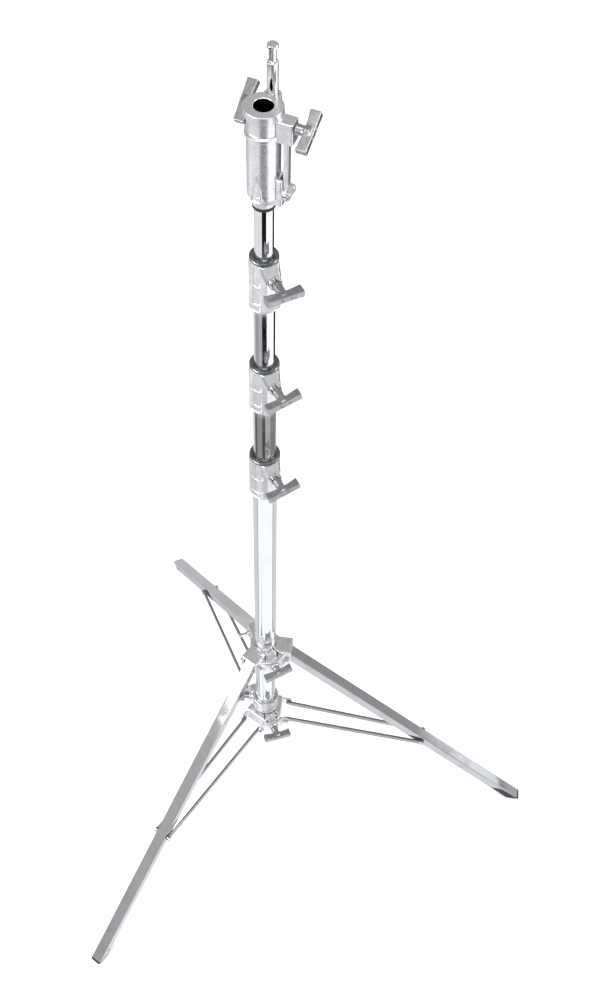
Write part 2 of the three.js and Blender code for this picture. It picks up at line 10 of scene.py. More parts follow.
import bpy
import numpy as np
from mathutils import Matrix, Vector


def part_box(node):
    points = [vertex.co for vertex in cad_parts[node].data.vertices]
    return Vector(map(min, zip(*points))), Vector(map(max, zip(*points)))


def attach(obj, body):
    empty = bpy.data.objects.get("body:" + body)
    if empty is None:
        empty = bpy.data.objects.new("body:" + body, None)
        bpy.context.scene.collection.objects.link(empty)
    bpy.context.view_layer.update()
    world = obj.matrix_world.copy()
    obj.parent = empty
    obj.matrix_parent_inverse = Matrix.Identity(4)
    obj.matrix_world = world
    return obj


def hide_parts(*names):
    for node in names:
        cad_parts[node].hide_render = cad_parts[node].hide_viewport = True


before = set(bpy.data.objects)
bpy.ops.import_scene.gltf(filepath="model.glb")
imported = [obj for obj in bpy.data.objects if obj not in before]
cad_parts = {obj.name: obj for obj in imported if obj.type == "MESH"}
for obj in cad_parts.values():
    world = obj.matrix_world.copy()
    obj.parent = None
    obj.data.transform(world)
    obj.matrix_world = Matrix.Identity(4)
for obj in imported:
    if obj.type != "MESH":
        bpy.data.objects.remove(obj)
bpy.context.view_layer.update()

MM = 0.001

# ---- Sizes in millimetres: the frame's, or the CAD's own driving dimensions --------------


def reach(node, axis):
    """Lowest and highest coordinate of a CAD node on an axis, in millimetres."""
    low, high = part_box(node)
    return low[axis] / MM, high[axis] / MM


def middle(node, axis):
    return sum(reach(node, axis)) / 2


COLUMN = Vector((middle("base_tube", 0), middle("base_tube", 1), 0))
LEG_AZIMUTH = {"a": 210, "b": 330, "c": 90}
FOOT_R = {"a": 614, "b": 614, "c": 634}
BRACE_Z = {"a": 288, "b": 288, "c": 293}
PIVOT_R, PIVOT_Z, PIVOT_STUB = 49, 565, 21
LEG_W, LEG_H, LEG_WALL, LEG_ROOT = 25, 22, 1.5, 8
SOLE_T = 4
BRACE_AT, BRACE_R = 452, 51
BAR_H, BAR_T, BAR_LOW, BAR_HIGH = 12, 5.3, 20.3, 16
WALL, GAP = 1.5, 0.3

HUB_Z, HUB_R, ARM_W, ARM_R = (546, 590), 33, 40, 58
BRACKET_Z, BRACKET_R = (268, 308), 30
CARRIAGE_Z, CARRIAGE_R = (318, 356), 29.5
EAR_Y, EAR_END_R, EAR_WALL_R = (23.5, 27.5), 58, 36
WEB_R = (43, 52)
HUB_SCREW = {"azimuth": 272, "z": 567, "tilt": 8, "tip": 42.1, "shank": 56, "wing": 68}
BRACKET_SCREW = {"azimuth": 269, "z": 287, "tilt": -11, "tip": 42.1, "shank": 56, "wing": 75}
CARRIAGE_SCREW = {"azimuth": 150, "z": 340, "tilt": 80, "tip": 22.8, "shank": 39, "wing": 58}
SCREW_R, BOSS_R = 5, 11
WING_HALF, WING_DEPTH, WING_THICK, SHANK_R = 31, 7, 5.6, (8.3, 6.6)

COLLAR_TOP, COLLAR_PITCH, COLLAR_H = 1256, 241, 106
COLLAR_R = (28.5, 26, 24)
COLLAR_AZIMUTH, COLLAR_TILT = 275, (10, 10, -2)
RING_H, KNOB_DROP, TUBE_DROP = 5, 28, 39
COLLAR_BOSS, COLLAR_BOSS_W, NUT_R, NUT_H = 9.5, 26, 11, 8
TUBE_R = (22.5, 20, 17.5, 15)

HEAD_AZIMUTH, HEAD_TOP, HEAD_BOTTOM = -45, 2012, 1842
FLANGE_R, FLANGE_H, BARREL_R, SOCKET_R = 28.5, 11, 24.5, 14.3
BEAD_R, BEAD_Z = 27.2, (1967.5, 1972)
RISER_SEAT = 1885
STUD_Y, STUD_R, STUD_NECK_R, STUD_BOSS_R = 31, 8, 5.5, 13
STUD_TOP, STUD_BOTTOM = HEAD_TOP + 76, HEAD_TOP - 62
LUG_W, LUG_FACE, LUG_Z = 22, 47, (1964, 2000)
SOCKET_SCREW = {"z": 1988, "tilt": 26, "tip": 40.3, "shank": LUG_FACE + 1, "wing": 66}
STUD_SCREW = {"z": 1984, "tilt": -34, "tip": STUD_R + GAP, "shank": 16, "wing": 38.5}
ARM_PIN, ARM_X, ARM_THICK = (38, 1872), (31.5, 39), 12
KNUCKLE_R, SHOE_BOTTOM = 7.5, 1969
CLAMP_WINDOW = (1966, 1994)

CAMERA_AZIMUTH = 248.5  # where the camera stands, seen from the column
CAMERA_PLACE, CAMERA_LENS = Vector((-561.5, -1424.7, 3227.1)), 50.72
CAMERA_HEADING, CAMERA_PITCH, CAMERA_ROLL = 66.06, 54.07, 1.76

# ---- Distance fields ------------------------------------------------------------------


class Space:
    """Grid points as open arrays x, y and z, in some frame. Negative distance is inside."""

    def __init__(self, x, y, z):
        self.x, self.y, self.z = x, y, z

    def turned(self, azimuth):
        """The same points in a frame whose X points at an azimuth."""
        c, s = math.cos(math.radians(azimuth)), math.sin(math.radians(azimuth))
        return Space(c * self.x + s * self.y, c * self.y - s * self.x, self.z)

    def moved(self, x=0.0, y=0.0, z=0.0):
        return Space(self.x - x, self.y - y, self.z - z)

    def radius(self):
        return np.hypot(self.x, self.y)


def slab(value, low, high):
    return np.abs(value - (low + high) / 2) - (high - low) / 2


def rounded(radius, *sides):
    """The space inside all the sides, its edges rounded."""
    sides = [side + radius for side in sides]
    outside = np.sqrt(sum(np.maximum(side, 0) ** 2 for side in sides))
    return outside + np.minimum(functools.reduce(np.maximum, sides), 0) - radius


def block(s, xs, ys, zs, radius=1.5):
    return rounded(radius, slab(s.x, *xs), slab(s.y, *ys), slab(s.z, *zs))


def rod_z(s, r, z0, z1, radius=1.0):
    return rounded(radius, s.radius() - r, slab(s.z, z0, z1))


def rod_x(s, r, x0, x1, radius=1.0):
    return rounded(radius, np.hypot(s.y, s.z) - r, slab(s.x, x0, x1))


def rod_y(s, r, y0, y1, radius=1.0):
    return rounded(radius, np.hypot(s.x, s.z) - r, slab(s.y, y0, y1))


def sides_of(u, v, outline):
    """Distances outside each side of a convex outline, drawn anticlockwise in u and v."""
    distances = []
    for (u0, v0), (u1, v1) in zip(outline, outline[1:] + outline[:1]):
        along = math.hypot(u1 - u0, v1 - v0)
        distances.append(((u - u0) * (v1 - v0) - (v - v0) * (u1 - u0)) / along)
    return distances


def turned_field(s, profile, radius=1.0):
    """A turned body with a given radius at each height, from (radius, z) pairs going up."""
    radii, heights = zip(*profile)
    wall = s.radius() - np.interp(s.z, heights, radii)
    return rounded(radius, wall, slab(s.z, heights[0], heights[-1]))


def merged(*fields, fillet=2.0):
    def pair(a, b):
        share = np.clip(0.5 + 0.5 * (b - a) / fillet, 0, 1)
        return b + (a - b) * share - fillet * share * (1 - share)

    return functools.reduce(pair, fields)


def carved(field, *tools, edge=0.8):
    for tool in tools:
        field = -merged(-field, tool, fillet=edge)
    return field


def surface(make, low, high, step=0.8):
    """The closed surface of a field in a box, by surface nets: points, faces and normals."""
    low, high = np.array(low, float), np.array(high, float)
    counts = np.ceil((high - low) / step).astype(int) + 1
    x, y, z = (low[a] + step * np.arange(counts[a]) for a in range(3))
    space = Space(x[:, None, None], y[None, :, None], z[None, None, :])
    field = np.ascontiguousarray(np.broadcast_to(make(space), counts))
    inside = field < 0
    cells = counts - 1
    corners = [(i, j, k) for i in (0, 1) for j in (0, 1) for k in (0, 1)]
    filled = np.zeros(cells, np.int8)
    for i, j, k in corners:
        filled += inside[i:i + cells[0], j:j + cells[1], k:k + cells[2]]
    active = (filled > 0) & (filled < 8)
    cell = np.argwhere(active)
    number = np.full(cells, -1, np.int64)
    number[active] = np.arange(len(cell))
    value = {corner: field[tuple((cell + corner).T)] for corner in corners}

    total = np.zeros((len(cell), 3))
    hits = np.zeros(len(cell))
    for start in corners:
        for axis in range(3):
            if start[axis]:
                continue
            end = tuple(1 if a == axis else start[a] for a in range(3))
            a, b = value[start], value[end]
            crossed = (a < 0) != (b < 0)
            point = np.tile(np.array(start, float), (len(cell), 1))
            point[:, axis] = a / np.where(crossed, a - b, 1)
            total += crossed[:, None] * point
            hits += crossed
    local = total / hits[:, None]

    slope = np.zeros((len(cell), 3))
    for corner in corners:
        share = [local[:, a] if corner[a] else 1 - local[:, a] for a in range(3)]
        for axis in range(3):
            sign = 1 if corner[axis] else -1
            slope[:, axis] += sign * value[corner] * share[axis - 1] * share[axis - 2]
    normals = slope / np.maximum(np.linalg.norm(slope, axis=1), 1e-9)[:, None]

    faces = []
    for axis in range(3):
        before = inside.take(np.arange(cells[axis]), axis)
        after = inside.take(np.arange(1, counts[axis]), axis)
        edge = np.argwhere(before != after)
        u, v = np.eye(3, dtype=int)[(axis + 1) % 3], np.eye(3, dtype=int)[(axis + 2) % 3]
        round_it = [number[tuple((edge - back).T)] for back in (u + v, v, 0 * u, u)]
        quads = np.stack(round_it, 1)
        outward = before[tuple(edge.T)]
        faces.append(np.where(outward[:, None], quads, quads[:, ::-1]))
    return low + step * (cell + local), np.concatenate(faces), normals


# ---- Lofted and turned shapes ---------------------------------------------------------


def soften(outline, radius, steps=4, closed=True):
    """An outline with its corners rounded by arcs, or by less where a side is short."""
    result = []
    count = len(outline)
    for i, corner in enumerate(outline):
        here = Vector(corner)
        if not closed and i in (0, count - 1):
            result.append(tuple(here))
            continue
        back, on = Vector(outline[i - 1]) - here, Vector(outline[(i + 1) % count]) - here
        inset = min(radius, 0.45 * back.length, 0.45 * on.length)
        start, end = here + back.normalized() * inset, here + on.normalized() * inset
        for k in range(steps + 1):
            t = k / steps
            point = start * (1 - t) ** 2 + here * 2 * t * (1 - t) + end * t ** 2
            result.append(tuple(point))
    return result


def turned_shape(profile, radius=0.5, sides=72, closed=True):
    """A body turned about Z from (radius, z) pairs; closed profiles make rings."""
    profile = soften(profile, radius, closed=closed)
    points, faces = [], []
    for r, z in profile:
        for k in range(sides):
            angle = 2 * math.pi * k / sides
            points.append((r * math.cos(angle), r * math.sin(angle), z))
    rings = len(profile)
    for i in range(rings if closed else rings - 1):
        j = (i + 1) % rings
        for k in range(sides):
            m = (k + 1) % sides
            faces.append((i * sides + k, i * sides + m, j * sides + m, j * sides + k))
    if not closed:
        faces.append(tuple(range(sides))[::-1])
        faces.append(tuple((rings - 1) * sides + k for k in range(sides)))
    return np.array(points), faces, None


def loft(loops, ring=False):
    """Loops of equal counts joined in turn: capped at the ends, or back to the first."""
    size = len(loops[0])
    points = [point for loop in loops for point in loop]
    faces = []
    for i in range(len(loops) if ring else len(loops) - 1):
        j = (i + 1) % len(loops)
        for k in range(size):
            m = (k + 1) % size
            faces.append((i * size + k, i * size + m, j * size + m, j * size + k))
    if not ring:
        faces.append(tuple(range(size))[::-1])
        faces.append(tuple((len(loops) - 1) * size + k for k in range(size)))
    return np.array(points), faces, None


def screw_thread(length, radius, pitch=1.5, depth=0.55, sides=28):
    """A threaded rod along +X from 0, with a tapered tip."""
    rows = int(length / pitch * 8)
    loops = []
    for i in range(rows + 1):
        x = length * i / rows
        taper = min(1, 0.7 + x / 5)
        loop = []
        for k in range(sides):
            turn = (x / pitch - k / sides) % 1
            r = taper * (radius - depth * abs(2 * turn - 1))
            angle = 2 * math.pi * k / sides
            loop.append((x, r * math.cos(angle), r * math.sin(angle)))
        loops.append(loop)
    return loft(loops)


def six_sided(across, height, bore=0.0):
    """A hexagon nut or head standing on z = 0, its top corners chamfered."""
    outline = [(math.cos(math.pi * k / 3), math.sin(math.pi * k / 3)) for k in range(6)]
    outline = soften(outline, 0.05, steps=2)
    radius = across / math.sqrt(3)
    levels = [(radius, 0), (radius, height - 0.9), (radius - 0.9, height)]
    loops = [[(r * u, r * v, z) for u, v in outline] for r, z in levels]
    if bore:
        inner = [(math.hypot(u, v), u, v) for u, v in outline]
        rim = [[(bore * u / d, bore * v / d, z) for d, u, v in inner] for z in (height, 0)]
        return loft(loops + rim, ring=True)
    return loft(loops)


def dome(radius, height, sides=40):
    """A pan head standing on z = 0."""
    profile = [(radius, 0), (radius, height * 0.45)]
    for k in range(1, 7):
        angle = math.pi / 2 * k / 7
        profile.append((radius * math.cos(angle), height * (0.45 + 0.55 * math.sin(angle))))
    return turned_shape(profile, radius=0.2, sides=sides, closed=False)


# ---- Placing --------------------------------------------------------------------------


def spin(axis, degrees):
    return Matrix.Rotation(math.radians(degrees), 4, axis)


def shift(x=0.0, y=0.0, z=0.0):
    return Matrix.Translation((x, y, z))


def joined(*parts):
    """One shape of several, each given as (shape, place)."""
    points, faces, start = [], [], 0
    for (part_points, part_faces, _), place in parts:
        moved = np.array(part_points) @ np.array(place.to_3x3()).T + np.array(place.translation)
        points.append(moved)
        faces += [tuple(int(n) + start for n in face) for face in part_faces]
        start += len(part_points)
    return np.concatenate(points), faces, None


def piece(name, shape, place, material, body, *nodes, finish=None):
    """A mesh piece in a CAD body's care, standing for the CAD nodes named."""
    points, faces, normals = shape
    place = shift(*COLUMN) @ place
    turn = np.array(place.to_3x3())
    points = (np.array(points) @ turn.T + np.array(place.translation)) * MM
    mesh = bpy.data.meshes.new(name)
    mesh.from_pydata(points.tolist(), [], [tuple(map(int, face)) for face in faces])
    mesh.polygons.foreach_set("use_smooth", np.ones(len(mesh.polygons), bool))
    if normals is None:
        mesh.set_sharp_from_angle(angle=math.radians(38))
    else:
        mesh.normals_split_custom_set_from_vertices((normals @ turn.T).tolist())
    mesh.update()
    obj = bpy.data.objects.new(name, mesh)
    bpy.context.scene.collection.objects.link(obj)
    if normals is None:
        even = obj.modifiers.new("even_faces", "WEIGHTED_NORMAL")
        even.keep_sharp = True
    mesh.materials.append(finish or MATERIALS[material])
    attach(obj, body)
    if nodes:
        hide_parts(*nodes)
    return obj


# ---- Finishes -------------------------------------------------------------------------


def fill(tree, socket, source):
    """Give a socket a value, or another node's output."""
    if isinstance(source, bpy.types.NodeSocket):
        tree.links.new(source, socket)
    else:
        socket.default_value = source


def new_node(tree, kind, *sources, **settings):
    """A new node with its settings made and its first inputs filled."""
    node = tree.nodes.new(kind)
    for name, value in settings.items():
        setattr(node, name, value)
    for socket, source in zip(node.inputs, sources):
        fill(tree, socket, source)
    return node


def colour_ramp(tree, value, stops):
    """The colour at a value, from (place, colour) stops."""
    node = new_node(tree, "ShaderNodeValToRGB", value)
    elements = node.color_ramp.elements
    for k, (at, colour) in enumerate(stops):
        element = elements[k] if k < 2 else elements.new(at)
        element.position = at
        element.color = (*colour, 1)
    return node.outputs["Color"]


class Finish:
    """A principled material built up from noise, in the object's own coordinates (metres)."""

    def __init__(self, name, metallic):
        self.material = bpy.data.materials.new(name)
        self.material.use_nodes = True
        self.tree = self.material.node_tree
        self.shader = self.tree.nodes["Principled BSDF"]
        self.shader.inputs["Metallic"].default_value = metallic
        self.place = self.node("ShaderNodeTexCoord").outputs["Object"]

    def node(self, kind, *sources, **settings):
        return new_node(self.tree, kind, *sources, **settings)

    def stretched(self, x, y, z):
        mapping = self.node("ShaderNodeMapping", self.place)
        mapping.inputs["Scale"].default_value = (x, y, z)
        return mapping.outputs["Vector"]

    def noise(self, size_mm, detail=3.0, place=None):
        node = self.node("ShaderNodeTexNoise", place or self.place)
        node.inputs["Scale"].default_value = 1 / (size_mm * MM)
        node.inputs["Detail"].default_value = detail
        return node.outputs["Fac"]

    def pits(self, size_mm):
        node = self.node("ShaderNodeTexVoronoi", self.place)
        node.inputs["Scale"].default_value = 1 / (size_mm * MM)
        return node.outputs["Distance"]

    def between(self, value, low, high, start=0.3, end=0.7):
        """From low to high, as the value goes from start to end."""
        return self.node("ShaderNodeMapRange", value, start, end, low, high).outputs["Result"]

    def ramp(self, value, *stops):
        return colour_ramp(self.tree, value, stops)

    def mixed(self, share, a, b):
        node = self.node("ShaderNodeMix", share, data_type="RGBA")
        colour_a, colour_b = node.inputs[6:8]
        fill(self.tree, colour_a, a)
        fill(self.tree, colour_b, b)
        return node.outputs[2]

    def edges(self, start=0.52, end=0.62):
        """1 on worn outside edges, 0 elsewhere."""
        pointiness = self.node("ShaderNodeNewGeometry").outputs["Pointiness"]
        return self.between(pointiness, 0, 1, start, end)

    def inside(self, radius, top):
        """1 within a radius of the column's axis and below a height, in millimetres: the mask for
        the painted shade down the head's socket.
        """
        vector = "ShaderNodeVectorMath"
        offset = self.node(vector, self.place, COLUMN * MM, operation="SUBTRACT")
        flat = self.node(vector, offset.outputs["Vector"], (1, 1, 0), operation="MULTIPLY")
        length = self.node(vector, flat.outputs["Vector"], operation="LENGTH")
        near = self.between(length.outputs["Value"], 1, 0, radius * MM, (radius + 0.4) * MM)
        height = self.node("ShaderNodeSeparateXYZ", self.place).outputs["Z"]
        below = self.between(height, 1, 0, (top - 0.5) * MM, top * MM)
        return self.node("ShaderNodeMath", near, below, operation="MULTIPLY").outputs["Value"]

    def set(self, **sockets):
        for name, source in sockets.items():
            fill(self.tree, self.shader.inputs[name.replace("_", " ")], source)

    def relief(self, *layers):
        """Stacked bumps, each given as (height, depth in millimetres)."""
        normal = None
        for height, depth_mm in layers:
            bump = self.node("ShaderNodeBump", 1, depth_mm * MM)
            fill(self.tree, bump.inputs["Height"], height)
            if normal:
                fill(self.tree, bump.inputs["Normal"], normal)
            normal = bump.outputs["Normal"]
        self.tree.links.new(normal, self.shader.inputs["Normal"])


def grey(level, warm=0.0):
    return (level * (1 + warm), level, level * (1 - warm))


def metal(name, dark, light, roughness, grain_mm, grain_depth, swell_mm, swell_depth):
    """A metal with cloudy tone, rougher and smoother patches, fine grain and a slow swell."""
    f = Finish(name, 1)
    cloud = f.noise(14, 4)
    tone = f.ramp(cloud, (0.32, dark), (0.68, light))
    f.set(Base_Color=tone, Roughness=f.between(f.noise(6, 5), *roughness))
    f.relief((f.noise(swell_mm, 1), swell_depth), (f.noise(grain_mm, 4), grain_depth))
    return f.material


def chrome_tube():
    """Plated round tube: faint draw lines down its length and a few rubbed patches."""
    f = Finish("chrome_tube", 1)
    lines = f.noise(1.2, 2, f.stretched(1, 1, 0.01))
    smudge = f.between(f.noise(60, 5), 0, 1, 0.5, 0.75)
    tone = f.ramp(smudge, (0, (0.84, 0.85, 0.87)), (1, (0.78, 0.79, 0.81)))
    f.set(Base_Color=tone, Roughness=f.between(smudge, 0.045, 0.12, 0, 1))
    f.relief((lines, 0.004), (f.noise(45, 1), 0.03))
    return f.material


def chrome_bar(name, level, roughness):
    """Plated square tube or flat bar: slightly wavy faces and fine polishing scratches."""
    f = Finish(name, 1)
    scratch = f.noise(0.7, 3, f.stretched(1, 1, 0.08))
    worn = f.between(f.noise(35, 6), 0, 1, 0.48, 0.75)
    tone = f.ramp(worn, (0, grey(level, -0.015)), (1, grey(level * 0.85, -0.015)))
    f.set(Base_Color=tone, Roughness=f.between(worn, roughness, roughness + 0.1, 0, 1))
    f.relief((f.noise(70, 1), 0.12), (scratch, 0.006))
    return f.material


def cast_aluminium(bore=None):
    """Tumbled casting: bright, softly mottled, with fine pebble grain and rubbed edges; given a
    bore as (radius, top), the socket inside it gets painted shade, near black.
    """
    f = Finish("cast_aluminium" if bore is None else "cast_aluminium_painted_socket_shade", 1)
    base = f.ramp(f.noise(9, 4), (0.3, (0.76, 0.76, 0.775)), (0.7, (0.88, 0.88, 0.89)))
    bright = f.ramp(f.noise(3, 3), (0.0, (0.90, 0.90, 0.91)), (1.0, (0.96, 0.96, 0.96)))
    tone = f.mixed(f.edges(), base, bright)
    if bore is not None:
        # painted shade: inside the bore's radius and below its top the colour turns near black,
        # standing for the shade down the socket
        tone = f.mixed(f.inside(*bore), tone, f.ramp(f.noise(2), (0, grey(0.004)), (1, grey(0.02))))
    f.set(Base_Color=tone, Roughness=f.between(f.noise(4, 4), 0.25, 0.35))
    f.relief((f.noise(14, 1), 0.05), (f.pits(1.9), 0.010), (f.noise(0.9, 2), 0.008))
    return f.material


def satin_handle():
    """Cast handle, a little darker and finer, polished where hands rub it."""
    f = Finish("satin_handle", 1)
    base = f.ramp(f.noise(7, 5), (0.3, (0.32, 0.325, 0.335)), (0.7, (0.44, 0.445, 0.455)))
    bright = f.ramp(f.noise(3, 3), (0.0, (0.56, 0.56, 0.57)), (1.0, (0.70, 0.70, 0.71)))
    f.set(
        Base_Color=f.mixed(f.edges(0.515, 0.58), base, bright),
        Roughness=f.between(f.noise(3, 5), 0.26, 0.40),
    )
    f.relief((f.noise(10, 1), 0.05), (f.pits(1.4), 0.02), (f.noise(0.7, 3), 0.02))
    return f.material


def matt_black(name, level, roughness, grain_mm, grain_depth):
    """Rubber or nylon: nearly black, scuffed lighter on its edges, with a moulded grain."""
    f = Finish(name, 0)
    base = f.ramp(f.noise(8, 5), (0.3, grey(level)), (0.7, grey(level * 1.7)))
    scuffed = f.ramp(f.noise(2, 4), (0.3, grey(level * 2)), (0.7, grey(level * 4)))
    f.set(
        Base_Color=f.mixed(f.edges(), base, scuffed),
        Roughness=f.between(f.noise(5, 4), *roughness),
        Specular_IOR_Level=0.35,
    )
    f.relief((f.noise(grain_mm, 3), grain_depth))
    return f.material


MATERIALS = {
    "chrome_tube": chrome_tube(),
    "chrome_bar": chrome_bar("chrome_bar", 0.54, 0.08),
    "cast_aluminium": cast_aluminium(),
    "satin_handle": satin_handle(),
    "chrome_stud": metal(
        "chrome_stud", grey(0.74), grey(0.84), (0.06, 0.14), 1.2, 0.006, 25, 0.03),
    "dark_ring": metal(
        "dark_ring", grey(0.16, -0.05), grey(0.26, -0.05), (0.22, 0.36), 0.8, 0.03, 9, 0.05),
    "zinc_steel": metal(
        "zinc_steel", grey(0.52), grey(0.72), (0.16, 0.3), 0.8, 0.02, 6, 0.04),
    "black_rubber": matt_black("black_rubber", 0.012, (0.6, 0.85), 0.9, 0.08),
    "black_nylon": matt_black("black_nylon", 0.015, (0.4, 0.6), 0.6, 0.03),
}

BRACE_FINISH = chrome_bar("chrome_brace", 0.36, 0.22)

# ---- T-handles and screws -------------------------------------------------------------


def handle_field(s, length):
    """A blunt wing at x = 0, its length on Y, with a tapered shank back along X."""
    share = np.abs(s.y) / WING_HALF  # 0 at the middle, 1 at the tips
    bend = 1.8 * (1 - share)
    blade = rounded(
        1.2,
        np.abs(s.x - bend) - WING_DEPTH - 1.5 * share ** 2,
        np.abs(s.y) - WING_HALF,
        np.abs(s.z) - WING_THICK - 0.7 * share,
    )
    taper = np.interp(s.x, (-length, -3), SHANK_R)
    shank = rounded(0.8, np.hypot(s.y, s.z) - taper, slab(s.x, -length, 2))
    face = WING_DEPTH + 2.2
    dimples = [np.sqrt((s.x - face) ** 2 + (s.y - at) ** 2 + s.z ** 2) - 2.3 for at in (-7, 8)]
    return carved(merged(blade, shank, fillet=4), *dimples)


@functools.cache
def handle_shape(length):
    edge = WING_HALF + 3
    return surface(
        lambda s: handle_field(s, length), (-length - 2, -edge, -9), (12, edge, 9), step=0.7)


def add_t_handle(name, body, place, screw):
    """A T-handle and its threaded screw, on the place's X axis."""
    tilted = place @ shift(z=screw["z"]) @ spin("X", screw["tilt"])
    wing = handle_shape(screw["wing"] - screw["shank"])
    piece(name + "_wing", wing, tilted @ shift(screw["wing"]), "satin_handle", body, name)
    thread = screw_thread(screw["shank"] + 3 - screw["tip"], SCREW_R)
    piece(name + "_screw", thread, tilted @ shift(screw["tip"]), "zinc_steel", body)


# ---- Upper hub, lower bracket and levelling carriage ----------------------------------


def web_field(s, z0, z1, screw, spread):
    """The curved web between two legs, with a boss round its clamp screw."""
    facing = s.turned(270)
    angle = np.abs(np.degrees(np.arctan2(facing.y, facing.x)))
    band = rounded(1.8, slab(s.radius(), *WEB_R), slab(s.z, z0, z1), (angle - spread) * 0.85)
    at_screw = s.turned(screw["azimuth"]).moved(z=screw["z"])
    boss = rod_x(at_screw, BOSS_R, WEB_R[0] - 2, WEB_R[1] + 3, 1.2)
    return merged(band, boss, fillet=3)


def tongue_tools(s, screw, radius, spread, z0, z1):
    """Two slits that free a tongue of the wall for the clamp screw to press in."""
    return [
        block(s.turned(screw["azimuth"] + side * spread), (21, radius + 8), (-1, 1), (z0, z1), 0.5)
        for side in (-1, 1)
    ]


def tongue_pad(s, screw, radius, z0, z1):
    """A thicker pad on the tongue, nearly touching the web and sloped at the top."""
    at = s.turned(screw["azimuth"])
    face = WEB_R[0] - 1.2
    outline = [(radius - 6, z0), (face, z0), (face, z1 - 7), (radius, z1), (radius - 6, z1)]
    return rounded(0.8, *sides_of(at.x, at.z, outline), np.abs(at.y) - 9.5)


def head_pockets(s, y, r, z, azimuth):
    """Room for the bolt heads on both sides of a leg's arm or ears."""
    at = s.turned(azimuth).moved(x=r, z=z)
    return [rod_y(at, 8.2, y0, y0 + 14, 0.6) for y0 in (y + 0.1, -y - 14.1)]


def hub_field(s):
    z0, z1 = HUB_Z
    barrel = rod_z(s, HUB_R, z0, z1, 2)
    web = web_field(s, z0 + 2, z1 - 2, HUB_SCREW, 36)
    arms = []
    for azimuth in LEG_AZIMUTH.values():
        at = s.turned(azimuth)
        outline = [(20, z0), (ARM_R - 6, z0), (ARM_R, z0 + 6), (ARM_R, z1), (20, z1)]
        arms.append(rounded(1.6, *sides_of(at.x, at.z, outline), np.abs(at.y) - ARM_W / 2))
    body = merged(barrel, web, *arms, fillet=2)
    body = merged(body, tongue_pad(s, HUB_SCREW, HUB_R - 1, z0 + 14, z1 - 1), fillet=0.6)
    tools = [rod_z(s, TUBE_R[0] + GAP, z0 - 9, z1 + 9, 0)]
    for azimuth in LEG_AZIMUTH.values():
        at = s.turned(azimuth)
        tools.append(block(at, (35.1, ARM_R + 9), (-13.2, 13.2), (z0 - 9, z1 - 5.5), 0.8))
        tools += head_pockets(s, ARM_W / 2, PIVOT_R, PIVOT_Z, azimuth)
    tools += tongue_tools(s, HUB_SCREW, HUB_R, 24, z0 + 12, z1 + 9)
    return carved(body, *tools)


def ears_field(s, azimuth, wall_z, brace_z, inner_top):
    """A flat wall and the two ears that hold one leg's brace bars."""
    at = s.turned(azimuth)
    z0, z1 = brace_z - 12, brace_z + 12
    wall = block(at, (18, EAR_WALL_R), (-EAR_Y[1], EAR_Y[1]), wall_z, 1.6)
    root = EAR_WALL_R - 5
    end = [
        (root, z0), (EAR_END_R - 5, z0), (EAR_END_R, z0 + 5), (EAR_END_R, z1 - 5),
        (EAR_END_R - 5, z1), (root, z1),
    ]
    brace = [(root, z1 - 8), (EAR_END_R - 5, z1 - 8), (EAR_WALL_R, inner_top), (root, inner_top)]
    across = slab(np.abs(at.y), *EAR_Y)
    ears = [rounded(1, *sides_of(at.x, at.z, outline), across) for outline in (end, brace)]
    return merged(wall, *ears, fillet=1.5)


def bracket_field(s):
    z0, z1 = BRACKET_Z
    body = merged(
        rod_z(s, BRACKET_R, z0, z1, 1.6),
        web_field(s, z0 + 3, z1 - 6, BRACKET_SCREW, 28),
        *(ears_field(s, LEG_AZIMUTH[n], BRACKET_Z, BRACE_Z[n], BRACE_Z[n] + 12) for n in "ab"),
        fillet=2.5,
    )
    pad = tongue_pad(s, BRACKET_SCREW, BRACKET_R - 1, z0 + 12, z1 - 1)
    body = merged(body, pad, fillet=0.6)
    tools = [rod_z(s, TUBE_R[0] + GAP, z0 - 9, z1 + 9, 0)]
    for n in "ab":
        tools += head_pockets(s, EAR_Y[1], BRACE_R, BRACE_Z[n], LEG_AZIMUTH[n])
    tools += tongue_tools(s, BRACKET_SCREW, BRACKET_R, 25, z0 + 10, z1 + 9)
    return carved(body, *tools)


def carriage_field(s):
    z0, z1 = CARRIAGE_Z
    at_screw = s.turned(CARRIAGE_SCREW["azimuth"]).moved(z=CARRIAGE_SCREW["z"])
    body = merged(
        rod_z(s, CARRIAGE_R, z0, z1, 1.6),
        ears_field(s, LEG_AZIMUTH["c"], CARRIAGE_Z, BRACE_Z["c"], z1),
        rod_x(at_screw, BOSS_R, 20, 38, 1.2),
        fillet=2.5,
    )
    groove = rounded(0.3, slab(s.radius(), CARRIAGE_R - 0.9, CARRIAGE_R + 9),
                     slab(s.z, z0 + 5, z0 + 6.6))
    return carved(body, rod_z(s, TUBE_R[0] + GAP, z0 - 9, z1 + 9, 0), groove)


def add_base_castings():
    hub = surface(hub_field, (-64, -60, HUB_Z[0] - 2), (64, 62, HUB_Z[1] + 2))
    piece("hub_casting", hub, shift(), "cast_aluminium", "hub", "upper_hub")
    bracket = surface(bracket_field, (-68, -58, BRACKET_Z[0] - 2), (68, 32, BRACKET_Z[1] + 2))
    piece("bracket_casting", bracket, shift(), "cast_aluminium", "lower_bracket", "lower_bracket")
    carriage = surface(
        carriage_field, (-44, -32, BRACE_Z["c"] - 14), (32, 60, CARRIAGE_Z[1] + 2))
    piece("carriage_casting", carriage, shift(), "cast_aluminium", "carriage",
          "leveling_carriage")
    add_t_handle("hub_t_handle", "hub_handle", spin("Z", HUB_SCREW["azimuth"]), HUB_SCREW)
    add_t_handle("bracket_t_handle", "bracket_handle", spin("Z", BRACKET_SCREW["azimuth"]),
                 BRACKET_SCREW)
    add_t_handle("leveling_t_handle", "leveling_handle", spin("Z", CARRIAGE_SCREW["azimuth"]),
                 CARRIAGE_SCREW)


# ---- Legs, feet and braces ------------------------------------------------------------


